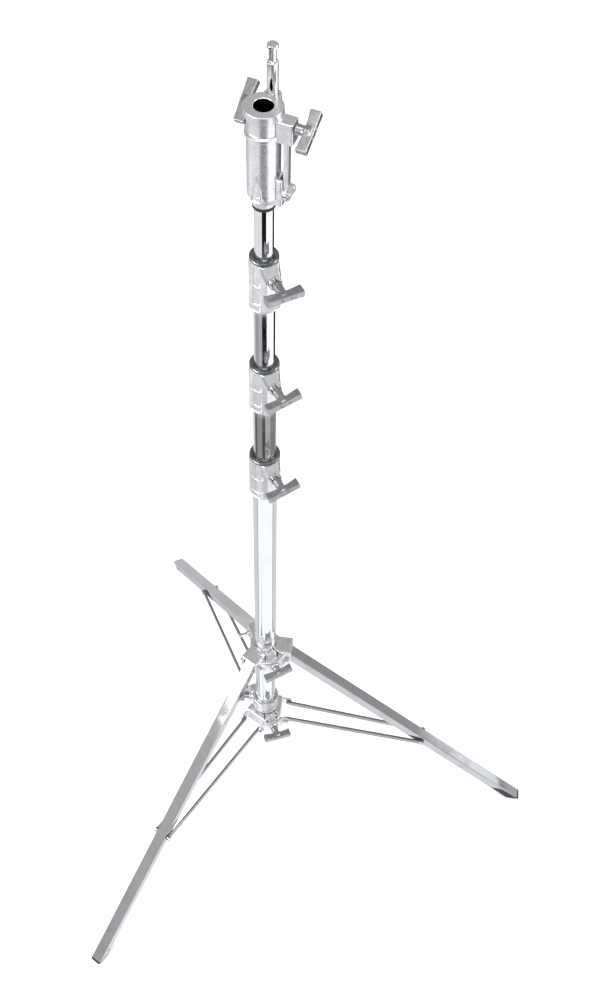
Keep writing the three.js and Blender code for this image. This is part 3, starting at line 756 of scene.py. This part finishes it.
def leg_section(inset=0.0, corner=2.6):
    y, z = LEG_W / 2 - inset, LEG_H / 2 - inset
    corner = max(corner - inset, 0.6)
    return soften([(-y, -z), (y, -z), (y, z), (-y, z)], corner, steps=5)


def level_cut(slope, above, z):
    """Where a level plane above the floor cuts a line along the leg, z off its middle."""
    return (PIVOT_Z - above + z * math.cos(slope)) / math.sin(slope)


def leg_shape(slope):
    """Square tube with rounded corners, cut level at the foot."""
    outer, inner = leg_section(), leg_section(LEG_WALL)
    above = SOLE_T + GAP
    trim = 0.5  # broken edge at each end
    edge = leg_section(trim)

    def start(section, x):
        return [(x, y, z) for y, z in section]

    def end(section, back):
        return [(level_cut(slope, above, z) - back, y, z) for y, z in section]

    loops = [
        start(edge, -LEG_ROOT), start(outer, trim - LEG_ROOT), end(outer, trim), end(edge, 0),
        end(inner, 0), start(inner, -LEG_ROOT),
    ]
    return loft(loops, ring=True)


def foot_shape(slope):
    """A level rubber sole with a rounded rim, and its plug inside the tube."""
    plug, rim, sole = leg_section(LEG_WALL + GAP), leg_section(), leg_section(0.9)

    def level(section, above):
        return [(level_cut(slope, above, z), y, z) for y, z in section]

    start = level_cut(slope, 0, -LEG_H / 2) - 32
    loops = [
        [(start, y, z) for y, z in plug], level(plug, SOLE_T), level(rim, SOLE_T),
        level(rim, 1.2), level(sole, 0),
    ]
    return loft(loops)


def stadium(length, r, steps=14):
    ends = []
    for centre, first in ((length, -90), (0, 90)):
        for k in range(steps + 1):
            angle = math.radians(first + 180 * k / steps)
            ends.append((centre + r * math.cos(angle), r * math.sin(angle)))
    return ends


def bar_shape(length):
    """Flat brace bar with round ends and broken edges."""
    half, edge = BAR_T / 2, 0.9
    levels = [(BAR_H / 2 - edge, -half), (BAR_H / 2 - 0.25, 0.3 - half), (BAR_H / 2, edge - half),
              (BAR_H / 2, half - edge), (BAR_H / 2 - 0.25, half - 0.3), (BAR_H / 2 - edge, half)]
    return loft([[(x, y, z) for x, z in stadium(length, r)] for r, y in reversed(levels)])


def pin(shaft_r, inner, head_at, head):
    """A pin along +Y with a head standing at head_at."""
    shaft = turned_shape([(shaft_r, inner), (shaft_r, head_at + 0.5)], sides=32, closed=False)
    return joined((shaft, spin("X", -90)), (head, shift(y=head_at) @ spin("X", -90)))


def leg_bolt_shape(stub):
    """The bolt across a hub arm: head or stub on the left, hexagon nut on the right."""
    y = ARM_W / 2 + GAP
    parts = [
        (turned_shape([(4, -y - 7), (4, y + 1)], sides=32, closed=False), spin("X", -90)),
        (dome(6.4, 4), shift(y=y) @ spin("X", -90)),
        (six_sided(12, 5), shift(y=-y) @ spin("X", 90)),
    ]
    if stub:
        end = y + stub
        rod = [(4, y), (4, end - 6), (5, end - 6), (5, end)]
        parts.append((turned_shape(rod, 0.4, sides=32, closed=False), spin("X", -90)))
    return joined(*parts)


def add_leg(n):
    azimuth = LEG_AZIMUTH[n]
    out = spin("Z", azimuth)
    slope = math.atan2(PIVOT_Z, FOOT_R[n] - PIVOT_R)
    pivot = out @ shift(PIVOT_R, 0, PIVOT_Z)
    tilted = pivot @ spin("Y", math.degrees(slope))
    bolt_body = "leg_c_bolt" if n == "c" else "hub"
    pivot_bolt = leg_bolt_shape(PIVOT_STUB if n == "c" else 0)
    piece(f"leg_pivot_{n}", pivot_bolt, pivot, "zinc_steel", bolt_body, f"leg_bolt_{n}")
    piece(f"leg_tube_{n}", leg_shape(slope), tilted, "chrome_bar", f"leg_{n}", f"leg_{n}")
    piece(f"rubber_foot_{n}", foot_shape(slope), tilted, "black_rubber", f"leg_{n}", f"foot_{n}")
    tip = level_cut(slope, 0, -LEG_H / 2)
    for side in (-1, 1):
        rivet = dome(2.6, 1.1, sides=24)
        at = tilted @ shift(tip - 16, side * (LEG_W / 2 - 0.4), 1 - LEG_H / 4)
        piece(f"foot_rivet_{n}_{'left' if side > 0 else 'right'}", rivet,
              at @ spin("X", -90 * side), "black_nylon", f"leg_{n}")

    pin_x = PIVOT_R + BRACE_AT * math.cos(slope)
    pin_z = PIVOT_Z - BRACE_AT * math.sin(slope)
    rise = BRACE_Z[n] - pin_z
    length = math.hypot(pin_x - BRACE_R, rise)
    low = out @ shift(BRACE_R, 0, BRACE_Z[n])
    along = low @ spin("Y", math.degrees(math.atan2(rise, pin_x - BRACE_R)))
    bolts_body = "brace_c_bolts" if n == "c" else "lower_bracket"
    lean = math.degrees(math.atan2(BAR_HIGH - BAR_LOW, length))
    for side, word in ((1, "left"), (-1, "right")):
        flip = spin("X", 0 if side > 0 else 180)
        bar_at = along @ shift(y=side * BAR_LOW) @ spin("Z", side * lean)
        piece(f"brace_bar_{n}_{word}", bar_shape(length), bar_at, "chrome_bar",
              f"braces_{n}", f"brace_{n}_{word}", finish=BRACE_FINISH)
        rivet = pin(3.5, LEG_W / 2 + GAP, BAR_HIGH + BAR_T / 2 + GAP, dome(6, 3))
        piece(f"brace_pin_{n}_{word}", rivet, along @ shift(length) @ flip, "zinc_steel",
              f"braces_{n}", f"brace_rivet_{n}_{word}")
        bolt = pin(3.5, BAR_LOW - BAR_T / 2 - 1, EAR_Y[1] + GAP, six_sided(11.5, 3))
        piece(f"ear_bolt_{n}_{word}", bolt, low @ flip, "zinc_steel", bolts_body,
              f"brace_bolt_{n}_{word}")


# ---- Column ---------------------------------------------------------------------------


def add_tube(name, node, body, r):
    z0, z1 = reach(node, 2)
    ring = turned_shape([(r - WALL, z0), (r, z0), (r, z1), (r - WALL, z1)], 0.5, sides=96)
    piece(name, ring, shift(), "chrome_tube", body, node)


def collar_field(s, i):
    """A lock collar about the column, its screw boss along +X and its ring's top at z = 0."""
    r = COLLAR_R[i]
    face = r + COLLAR_BOSS
    bottom, body_top = -COLLAR_H, -RING_H - GAP
    skin = r - 1.0
    shell = turned_field(
        s, [(skin - 1, bottom), (skin, bottom + 3), (skin, -35), (skin - 1.6, body_top)])
    beads = [
        rounded(0.4, slab(s.radius(), skin - 4, r), slab(s.z, z - 1, z + 1))
        for z in (-50, -88, bottom + 2.5)
    ]
    for azimuth in (-162, -118, -74, 74, 118, 162):
        at = s.turned(azimuth)
        rib = rounded(0.4, np.abs(at.y) - 0.9, slab(at.x, skin - 4, r - 0.1), slab(s.z, -88, -9))
        beads.append(rib)
    outline = [
        (5, bottom + 6), (r, bottom + 6), (face, bottom + 30), (face, -KNOB_DROP + 8),
        (r - 2, body_top), (5, body_top),
    ]
    half = COLLAR_BOSS_W / 2
    flank = np.abs(s.y) - half - 0.3 * np.clip(face - s.x, 0, 12)
    # the upper corners are cut back to slanting facets
    facet = 0.55 * (s.x - face) + 0.8 * (np.abs(s.y) - half + 1) + 0.24 * (s.z + KNOB_DROP)
    boss = rounded(1.0, *sides_of(s.x, s.z, outline), flank, facet)
    body = merged(merged(shell, *beads, fillet=0.8), boss, fillet=1.4)
    knob = s.moved(z=-KNOB_DROP)
    return carved(
        body,
        rod_z(s, TUBE_R[i] + GAP, bottom - 9, GAP - TUBE_DROP, 0),
        rod_z(s, TUBE_R[i + 1] + GAP, bottom - 9, 9, 0),
        rod_x(knob, SCREW_R + GAP, face - 1, face + 9, 0),
        edge=0.6,
    )


def nut_field(s):
    """A castellated nut on its side, its face towards the collar at x = 0."""
    ring = rod_x(s, NUT_R, 0, NUT_H, 1)
    waist = rounded(0.4, slab(np.hypot(s.y, s.z), NUT_R - 1.1, NUT_R + 9), slab(s.x, 2.2, 3.6))
    notches = []
    for turn in range(6):
        angle = math.radians(60 * turn)
        across = math.cos(angle) * s.y + math.sin(angle) * s.z
        radial = math.cos(angle) * s.z - math.sin(angle) * s.y
        notches.append(rounded(0.3, np.abs(across) - 1.6, slab(s.x, NUT_H - 3.2, NUT_H + 9),
                               slab(radial, 0, 30)))
    return carved(ring, waist, rod_x(s, SCREW_R + GAP, -9, NUT_H + 9, 0), *notches, edge=0.4)


def add_collar(i, word, body):
    top = COLLAR_TOP + i * COLLAR_PITCH
    r = COLLAR_R[i]
    face = r + COLLAR_BOSS
    frame_at = spin("Z", COLLAR_AZIMUTH)
    casing = surface(
        lambda s: collar_field(s, i), (-r - 2, -r - 2, -COLLAR_H - 2), (face + 2, r + 2, 0),
        step=0.6)
    piece(f"{word}_collar_casting", casing, frame_at @ shift(z=top), "cast_aluminium", body,
          f"{word}_collar")
    bore = TUBE_R[i + 1] + GAP
    ring = turned_shape(
        [(bore, -RING_H), (r - 1, -RING_H), (r - 1, -1.6), (r - 2.4, 0), (bore + 2.2, 0),
         (bore, -1.4)], 0.35, sides=96)
    piece(f"{word}_collar_cap", ring, frame_at @ shift(z=top), "dark_ring", body,
          f"{word}_collar_ring")
    nut = surface(nut_field, (-1, -13, -13), (NUT_H + 1, 13, 13), step=0.5)
    piece(f"{word}_castle_nut", nut, frame_at @ shift(face + GAP, 0, top - KNOB_DROP),
          "zinc_steel", body, f"{word}_lock_nut")
    screw = {"z": top - KNOB_DROP, "tilt": COLLAR_TILT[i], "tip": bore,
             "shank": face + NUT_H + 1, "wing": face + 33}
    add_t_handle(f"{word}_t_handle", f"{word}_handle", frame_at, screw)


# ---- Combo head -----------------------------------------------------------------------


def leaf_rib(s, azimuth, z0, z1):
    """A raised pointed arch on the barrel's side, hollow inside."""
    at = s.turned(azimuth)
    around = np.arctan2(at.y, at.x) * BARREL_R
    share = np.clip((s.z - z0) / (z1 - z0), 0, 1)
    width = 9 * (1 - share ** 2)
    arch = rounded(0.5, np.abs(around) - width, slab(s.z, z0, z1))
    outline = np.abs(arch + 1.4) - 1.4
    return rounded(0.6, outline, slab(s.radius(), BARREL_R - 3, BARREL_R + 2.4), -at.x)


def head_field(s):
    barrel = turned_field(s, [
        (17.6, HEAD_BOTTOM), (18.5, HEAD_BOTTOM + 8), (BARREL_R, HEAD_BOTTOM + 20),
        (BARREL_R, BEAD_Z[0] - 1.5), (BEAD_R, BEAD_Z[0]), (BEAD_R, BEAD_Z[1]),
        (BARREL_R - 0.5, BEAD_Z[1] + 1.2), (BARREL_R - 0.5, HEAD_TOP - FLANGE_H - 3),
        (FLANGE_R, HEAD_TOP - FLANGE_H), (FLANGE_R, HEAD_TOP),
    ], 0.8)
    half = LUG_W / 2
    lug = block(s, (12, LUG_FACE), (-half, half), LUG_Z, 2)
    pin_x, pin_z = ARM_PIN
    cheeks = block(s, (12, 32), (-half, half), (HEAD_BOTTOM + 8, pin_z + 26), 2.4)
    knuckle = rod_y(s.moved(x=pin_x, z=pin_z), KNUCKLE_R, -half, half, 1.2)
    neck_z = (pin_z - KNUCKLE_R + 0.1, pin_z + KNUCKLE_R - 0.1)
    neck = block(s, (28, pin_x), (-half, half), neck_z, 1.2)
    stud_at = s.moved(y=STUD_Y)
    stud_boss = rod_z(stud_at, STUD_BOSS_R, HEAD_TOP - 54, HEAD_TOP - 3, 1.6)
    stud_screw_at = stud_at.moved(z=STUD_SCREW["z"])
    screw_boss = rod_x(stud_screw_at, BOSS_R, -15, 0, 1.2)
    rib = leaf_rib(s, 222 - HEAD_AZIMUTH, HEAD_BOTTOM + 16, HEAD_BOTTOM + 66)
    body = merged(barrel, lug, cheeks, merged(knuckle, neck), stud_boss, screw_boss, fillet=2)
    body = merged(body, rib, fillet=1)
    oval_at = s.turned(232 - HEAD_AZIMUTH).moved(x=BARREL_R - 4, z=HEAD_BOTTOM + 24)
    oval = rod_x(Space(oval_at.x, oval_at.y * 0.7, oval_at.z), 4, 0, 4.8, 0.8)
    body = merged(body, oval, fillet=1)
    room = ARM_THICK / 2 + GAP
    tools = [
        rod_z(s, TUBE_R[3] + GAP, HEAD_BOTTOM - 9, RISER_SEAT + GAP, 0),
        rod_z(s, SOCKET_R, RISER_SEAT - 1, HEAD_TOP + 9, 0),
        rounded(0.2, s.radius() - SOCKET_R - np.clip(s.z - HEAD_TOP + 0.7, 0, 9)),
        block(s, (26.5, pin_x + 20), (-room, room), (HEAD_BOTTOM + 18, LUG_Z[0]), 0.5),
        block(s, (26.5, 41), (-room, room), (LUG_Z[0] - 1, LUG_Z[1] - 4), 0.5),
        block(s, (5, ARM_X[0]), (-7, 7), CLAMP_WINDOW, 0.5),
        rod_x(s.moved(z=SOCKET_SCREW["z"]), SCREW_R + GAP, 39, LUG_FACE + 9, 0),
        rod_z(stud_at, STUD_R + GAP, STUD_BOTTOM - 62, HEAD_TOP + 9, 0),
        rod_x(stud_screw_at, SCREW_R + GAP, -30, 0, 0),
    ]
    return carved(body, *tools, edge=0.7)


def clamp_arm_field(s):
    """An upright bar on a pin, with a shoe that reaches in to the socket."""
    pin_x, pin_z = ARM_PIN
    x0, x1 = ARM_X
    top = LUG_Z[1] - 8
    half = ARM_THICK / 2
    bar = block(s, (x0, x1), (-half, half), (pin_z - 4, top), 1.2)
    foot_side = [
        (x0, pin_z - 6), (pin_x, pin_z - 8), (pin_x + 7, pin_z), (x1, pin_z + 12),
        (x0, pin_z + 12),
    ]
    foot = rounded(1.2, *sides_of(s.x, s.z, foot_side), np.abs(s.y) - half)
    shoe = block(s, (SOCKET_R + 3, x0 + 2), (-half, half), (SHOE_BOTTOM, top), 1)
    return merged(bar, foot, shoe, fillet=1.5)


def stud_profile():
    return [
        (STUD_R - 1, STUD_BOTTOM), (STUD_R, STUD_BOTTOM + 1.2), (STUD_R, STUD_TOP - 27),
        (STUD_NECK_R, STUD_TOP - 24.8), (STUD_NECK_R, STUD_TOP - 6.2), (STUD_R, STUD_TOP - 4.6),
        (STUD_R, STUD_TOP - 0.9), (STUD_R - 0.9, STUD_TOP),
    ]


def add_head():
    at = spin("Z", HEAD_AZIMUTH)
    casting = surface(head_field, (-30, -30, HEAD_BOTTOM - 2), (50, 46, HEAD_TOP + 2))
    # painted shade: this finish colours the head's socket near black, where the deep hole falls
    # into shade
    socket_painted_shade = cast_aluminium(bore=(SOCKET_R + 0.2, HEAD_TOP - 1.5))
    piece("head_body", casting, at, "cast_aluminium", "riser_3", "head_casting",
          finish=socket_painted_shade)
    tail = turned_shape(
        [(TUBE_R[3] + GAP, -6), (17.5, -6), (17.5, -GAP), (TUBE_R[3] + GAP, -GAP)], 0.7, sides=72)
    piece("head_tail_bush", tail, at @ shift(z=HEAD_BOTTOM), "black_nylon", "riser_3",
          "head_tail_ring")
    arm = surface(clamp_arm_field, (14, -8, ARM_PIN[1] - 11), (48, 8, LUG_Z[1] - 5), step=0.7)
    piece("clamp_arm_casting", arm, at, "cast_aluminium", "clamp_arm", "clamp_arm")
    y = LUG_W / 2 + GAP
    shaft = turned_shape([(3.5, -y - 1), (3.5, y + 4.6)], sides=32, closed=False)
    pin_shape = joined(
        (shaft, spin("X", -90)),
        (dome(6, 3), shift(y=-y) @ spin("X", 90)),
        (six_sided(11, 4), shift(y=y) @ spin("X", -90)),
    )
    piece("clamp_pin", pin_shape, at @ shift(ARM_PIN[0], 0, ARM_PIN[1]), "zinc_steel", "riser_3",
          "clamp_arm_pin")
    stud = turned_shape(stud_profile(), 0.35, sides=64, closed=False)
    piece("stud_pin", stud, at @ shift(y=STUD_Y), "chrome_stud", "stud", "stud")
    add_t_handle("socket_t_handle", "socket_handle", at, SOCKET_SCREW)
    add_t_handle("stud_t_handle", "stud_handle", at @ shift(y=STUD_Y) @ spin("Z", 180),
                 STUD_SCREW)


# ---- Studio and camera ----------------------------------------------------------------


def emission(name, colour, strength):
    material = bpy.data.materials.new(name)
    material.use_nodes = True
    tree = material.node_tree
    tree.nodes.clear()
    lamp = new_node(tree, "ShaderNodeEmission", (*colour, 1), strength)
    new_node(tree, "ShaderNodeOutputMaterial", lamp.outputs[0])
    material.cycles.emission_sampling = "NONE"
    return material


def stage_mesh(name, points, faces, material):
    mesh = bpy.data.meshes.new(name)
    mesh.from_pydata(points, [], faces)
    mesh.materials.append(material)
    obj = bpy.data.objects.new(name, mesh)
    bpy.context.scene.collection.objects.link(obj)
    return obj


def floor_card(name, start, end, near, far, strength, colour):
    """A sector of floor that only reflections see, its angles in degrees right of the camera."""
    steps = max(4, int((end - start) / 5))
    angles = [
        math.radians(CAMERA_AZIMUTH + start + (end - start) * k / steps) for k in range(steps + 1)
    ]
    points = [
        (COLUMN.x * MM + r * math.cos(a), COLUMN.y * MM + r * math.sin(a), -0.002)
        for r in (near, far)
        for a in angles
    ]
    row = steps + 1
    faces = [(k, row + k, row + k + 1, k + 1) for k in range(steps)]
    card = stage_mesh(name, points, faces, emission(name, colour, strength))
    card.visible_camera = False
    card.visible_diffuse = False
    card.visible_shadow = False


NEUTRAL, COOL, WARM = (1, 1, 1), (0.95, 0.96, 1.0), (1.0, 0.95, 0.90)

# Each height on the column mirrors one ring of floor. A ring's sectors run clockwise from
# behind the stand on the left, each given as (its end in degrees, strength).
FLOOR_RINGS = {
    "base": (0.0, 0.97, COOL, [(-76, 0.75), (-71, 0.16), (78, 1.18), (83, 0.16), (180, 0.75)]),
    "riser_1": (0.97, 1.16, WARM, [
        (-110, 0.70), (-81, 0.12), (-24, 0.30), (6, 0.08), (59, 0.44), (137, 0.24), (180, 0.6)]),
    "middle_collar": (1.16, 1.32, COOL, [(-20, 1.1), (110, 1.5), (180, 0.4)]),
    "riser_2": (1.32, 1.565, COOL, [
        (-110, 0.8), (-60, 0.38), (-24, 0.5), (26, 0.012), (112, 1.3), (180, 0.02)]),
    "top_collar": (1.565, 1.786, COOL, [(-20, 1.1), (110, 1.5), (180, 0.4)]),
    "riser_3": (1.786, 2.035, NEUTRAL, [
        (-110, 0.8), (-24, 0.85), (26, 0.012), (112, 1.3), (180, 0.02)]),
    "head": (2.035, 2.7, COOL, [(-110, 0.6), (-26, 1.35), (26, 0.01), (112, 1.5), (180, 0.1)]),
    "far": (2.7, 5.0, COOL, [(-100, 0.5), (-30, 0.04), (22, 0.5), (112, 1.3), (180, 0.05)]),
}


def add_floor():
    material = bpy.data.materials.new("pale_floor")
    material.use_nodes = True
    shader = material.node_tree.nodes["Principled BSDF"]
    shader.inputs["Base Color"].default_value = (0.93, 0.93, 0.93, 1)
    shader.inputs["Roughness"].default_value = 0.9
    shader.inputs["Specular IOR Level"].default_value = 0
    half = 12
    points = [(-half, -half, -0.003), (half, -half, -0.003), (half, half, -0.003),
              (-half, half, -0.003)]
    floor = stage_mesh("studio_floor", points, [(0, 1, 2, 3)], material)
    floor.visible_glossy = False
    for name, (near, far, colour, sectors) in FLOOR_RINGS.items():
        start = -180
        for end, strength in sectors:
            floor_card(f"{name}_floor_{end}", start, end, near, far, strength, colour)
            start = end


def add_softbox(name, azimuth, elevation, distance, width, height, watts):
    """A lamp aimed at the column's middle, sizes in metres."""
    lamp = bpy.data.lights.new(name, "AREA")
    lamp.shape = "RECTANGLE"
    lamp.size, lamp.size_y = width, height
    lamp.energy = watts
    obj = bpy.data.objects.new(name, lamp)
    bpy.context.scene.collection.objects.link(obj)
    a, e = math.radians(azimuth), math.radians(elevation)
    way = Vector((math.cos(e) * math.cos(a), math.cos(e) * math.sin(a), math.sin(e)))
    target = Vector((COLUMN.x * MM, COLUMN.y * MM, 1.0))
    obj.location = target + way * distance
    obj.rotation_euler = way.to_track_quat("Z", "Y").to_euler()


def add_world():
    """White behind the object; reflections see a soft studio, darker between its lamps."""
    world = bpy.data.worlds.new("studio")
    bpy.context.scene.world = world
    world.use_nodes = True
    tree = world.node_tree
    tree.nodes.clear()
    glossy = new_node(tree, "ShaderNodeLightPath").outputs["Is Glossy Ray"]
    place = new_node(tree, "ShaderNodeTexCoord").outputs["Generated"]
    up = new_node(tree, "ShaderNodeSeparateXYZ", place).outputs["Z"]
    height = new_node(tree, "ShaderNodeMapRange", up, -1).outputs["Result"]
    levels = [(0.0, 0.30), (0.46, 0.50), (0.53, 0.46), (0.62, 0.70), (0.78, 0.46), (1.0, 0.34)]
    sky = colour_ramp(tree, height, [(at, grey(level)) for at, level in levels])
    studio = new_node(tree, "ShaderNodeBackground", sky)
    white = new_node(tree, "ShaderNodeBackground", (1, 1, 1, 1), 1.05)
    mix = new_node(tree, "ShaderNodeMixShader", glossy, white.outputs[0], studio.outputs[0])
    new_node(tree, "ShaderNodeOutputWorld", mix.outputs[0])


def add_camera():
    """The camera looks down at the stand from its front left, slightly rolled."""
    pitch, roll = math.radians(CAMERA_PITCH), math.radians(CAMERA_ROLL)
    heading = math.radians(CAMERA_HEADING)
    forward = Vector((math.cos(pitch) * math.cos(heading), math.cos(pitch) * math.sin(heading),
                      -math.sin(pitch)))
    right = Vector((math.sin(heading), -math.cos(heading), 0))
    up = right.cross(forward)
    across = right * math.cos(roll) + up * math.sin(roll)
    upward = up * math.cos(roll) - right * math.sin(roll)
    data = bpy.data.cameras.new("camera")
    data.lens = CAMERA_LENS
    data.sensor_width = 36
    camera = bpy.data.objects.new("camera", data)
    bpy.context.scene.collection.objects.link(camera)
    turn = Matrix((across, upward, -forward)).transposed().to_4x4()
    camera.matrix_world = Matrix.Translation((CAMERA_PLACE + COLUMN) * MM) @ turn
    bpy.context.scene.camera = camera


# ---- The stand ------------------------------------------------------------------------

add_base_castings()
for leg in LEG_AZIMUTH:
    add_leg(leg)
add_tube("base_column", "base_tube", "base_tube", TUBE_R[0])
for number in (1, 2, 3):
    add_tube(f"riser_tube_{number}", f"riser_{number}", f"riser_{number}", TUBE_R[number])
for index, (word, body) in enumerate(
        (("bottom", "base_tube"), ("middle", "riser_1"), ("top", "riser_2"))):
    add_collar(index, word, body)
add_head()
for node in ("base_plug", "riser_1_guide", "riser_2_guide", "riser_3_guide"):
    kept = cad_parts[node]
    kept.data.materials.clear()
    kept.data.materials.append(MATERIALS["black_nylon"])

add_floor()
add_world()
add_softbox("left_softbox", 187, 26, 3.4, 2.6, 1.6, 110)
add_softbox("top_softbox", 250, 78, 3.2, 1.4, 1.4, 20)
add_softbox("right_softbox", 335, 34, 3.6, 1.0, 2.0, 45)
add_camera()
bpy.context.scene.view_settings.view_transform = "Standard"
